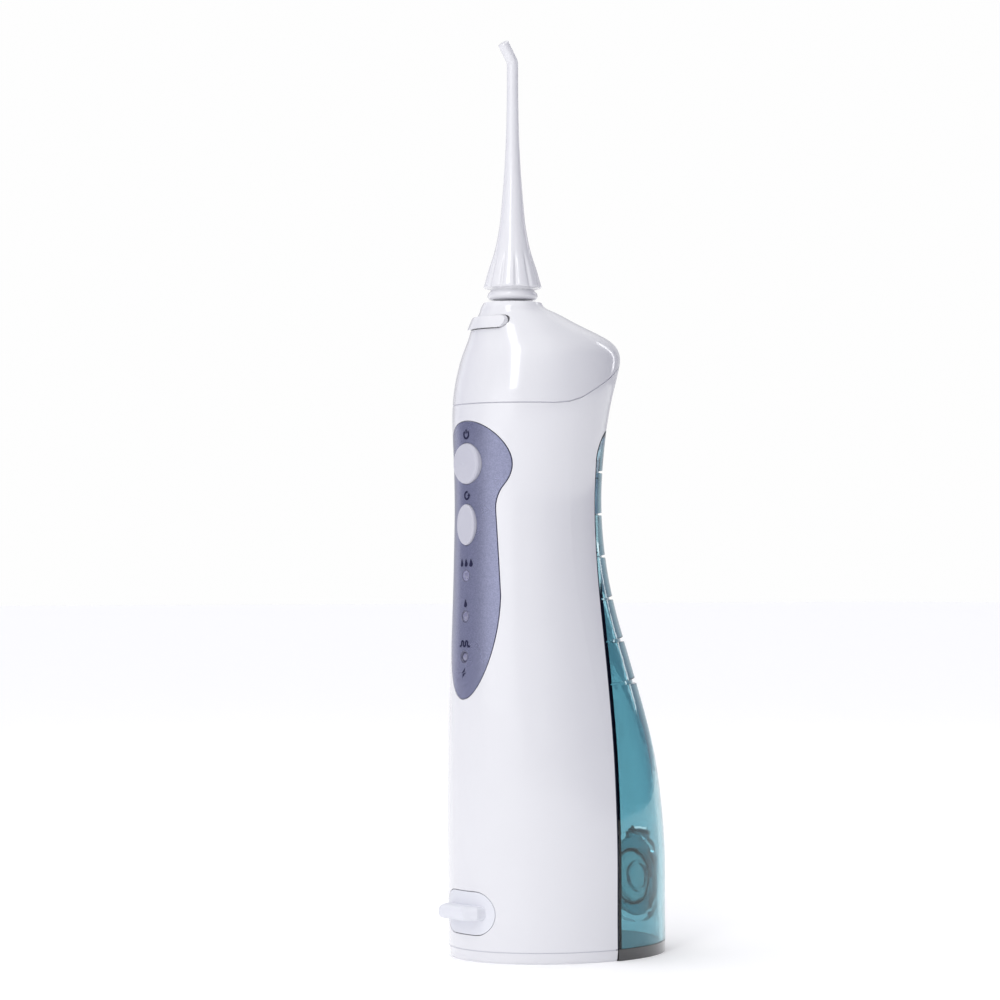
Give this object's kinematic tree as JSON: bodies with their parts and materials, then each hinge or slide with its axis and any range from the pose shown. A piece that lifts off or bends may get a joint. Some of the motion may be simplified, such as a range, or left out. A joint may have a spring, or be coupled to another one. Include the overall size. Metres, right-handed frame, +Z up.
{
  "type": "water flosser",
  "caption": "Cordless water flosser with waisted handle, detachable tinted tank, control panel with buttons and lamps, and a rotating lift-out jet tip.",
  "frame": {"origin": "centre of the base on the standing surface, in the flat joint between handle and tank", "axes": "+Z up along the body, -Y towards the control panel, +Y towards the tank, +X to the side"},
  "size_m": [0.0616, 0.0802, 0.2938],
  "materials": {
    "white_gloss": "gloss",
    "button_grey": "satin",
    "panel_lilac": "brushed",
    "teal_clear": "gloss",
    "teal_dark": "gloss",
    "cover_soft": "satin",
    "joint_dark": "gloss",
    "seal_black": "matte",
    "lens_clear": "gloss",
    "board_green": "satin",
    "lamp_chip": "satin",
    "switch_black": "satin",
    "steel": "satin",
    "brass": "satin",
    "inner_plastic": "satin",
    "cell_wrap": "gloss",
    "gear_plastic": "satin",
    "hose_silicone": "satin",
    "cap_teal": "gloss"
  },
  "bodies": {
    "handle": {"front_housing": "white_gloss", "head_cover": "white_gloss", "base_cover": "white_gloss", "housing_screws": "steel", "joint_plate": "joint_dark", "water_spigot": "inner_plastic", "spigot_seal": "seal_black", "control_panel": "panel_lilac", "led_lenses": "lens_clear", "led_chips": "lamp_chip", "circuit_board": "board_green", "tact_switches": "switch_black", "charging_socket": "switch_black", "socket_pin": "brass", "nozzle_seat": "inner_plastic", "battery_cells": "cell_wrap", "battery_cradle": "switch_black", "battery_tabs": "steel", "motor_can": "steel", "motor_end_cap": "switch_black", "gear_axle": "steel", "pump_frame": "inner_plastic", "pump_cylinder": "inner_plastic", "pump_head": "inner_plastic", "inlet_hose": "hose_silicone", "outlet_hose": "hose_silicone"},
    "tank": {"tank_shell": "teal_clear", "tank_base": "teal_dark", "intake_filter": "steel", "cap_hinge_pin": "steel"},
    "cap": {"filler_cap": "cap_teal", "cap_gasket": "seal_black"},
    "sleeve": {"tip_sleeve": "white_gloss"},
    "tip": {"jet_tip": "white_gloss", "stem_seal": "seal_black"},
    "power": {"power_button": "button_grey"},
    "mode": {"mode_button": "button_grey"},
    "release": {"tip_release_button": "white_gloss"},
    "port_cover": {"charge_cover": "cover_soft"},
    "rotor": {"motor_rotor": "brass"},
    "wheel": {"crank_gear": "gear_plastic"},
    "yoke": {"yoke_piston": "gear_plastic", "piston_seal": "seal_black"},
    "inlet_valve": {"inlet_ball": "steel"},
    "outlet_valve": {"outlet_ball": "steel"}
  },
  "joints": [
    {"name": "tank_pull", "type": "slide", "parent": "handle", "child": "tank", "axis": [0, 1, 0], "range_m": [0, 0.05]},
    {"name": "cap_flip", "type": "hinge", "parent": "tank", "child": "cap", "pos_m": [0, 0.036, 0.037], "axis": [1, 0, 0], "range_deg": [0, 95]},
    {"name": "sleeve_turn", "type": "hinge", "parent": "handle", "child": "sleeve", "pos_m": [0, -0.0182, 0.19], "axis": [0, 0, 1], "continuous": true},
    {"name": "tip_lift", "type": "slide", "parent": "sleeve", "child": "tip", "axis": [0, 0, 1], "range_m": [0, 0.03]},
    {"name": "power_press", "type": "slide", "parent": "handle", "child": "power", "axis": [0, 1, 0], "range_m": [0, 0.0008], "stiffness_N_per_m": 400},
    {"name": "mode_press", "type": "slide", "parent": "handle", "child": "mode", "axis": [0, 1, 0], "range_m": [0, 0.0008], "stiffness_N_per_m": 400},
    {"name": "release_press", "type": "slide", "parent": "handle", "child": "release", "axis": [0, 1, 0], "range_m": [0, 0.0012], "stiffness_N_per_m": 500},
    {"name": "cover_pull", "type": "slide", "parent": "handle", "child": "port_cover", "axis": [0, -1, 0], "range_m": [0, 0.012]},
    {"name": "rotor_spin", "type": "hinge", "parent": "handle", "child": "rotor", "pos_m": [-0.003, -0.0146, 0.11], "axis": [0, 0, 1], "continuous": true},
    {"name": "wheel_spin", "type": "hinge", "parent": "handle", "child": "wheel", "pos_m": [0.0086, -0.0146, 0.129], "axis": [0, 0, 1], "continuous": true},
    {"name": "yoke_stroke", "type": "slide", "parent": "handle", "child": "yoke", "axis": [1, 0, 0], "range_m": [-0.0018, 0.0018]},
    {"name": "inlet_lift", "type": "slide", "parent": "handle", "child": "inlet_valve", "axis": [0, 0, 1], "range_m": [0, 0.001]},
    {"name": "outlet_lift", "type": "slide", "parent": "handle", "child": "outlet_valve", "axis": [0, 0, 1], "range_m": [0, 0.001]}
  ],
  "couplings": [
    {"joint": "wheel_spin", "follows": "rotor_spin", "ratio": -0.27778}
  ]
}
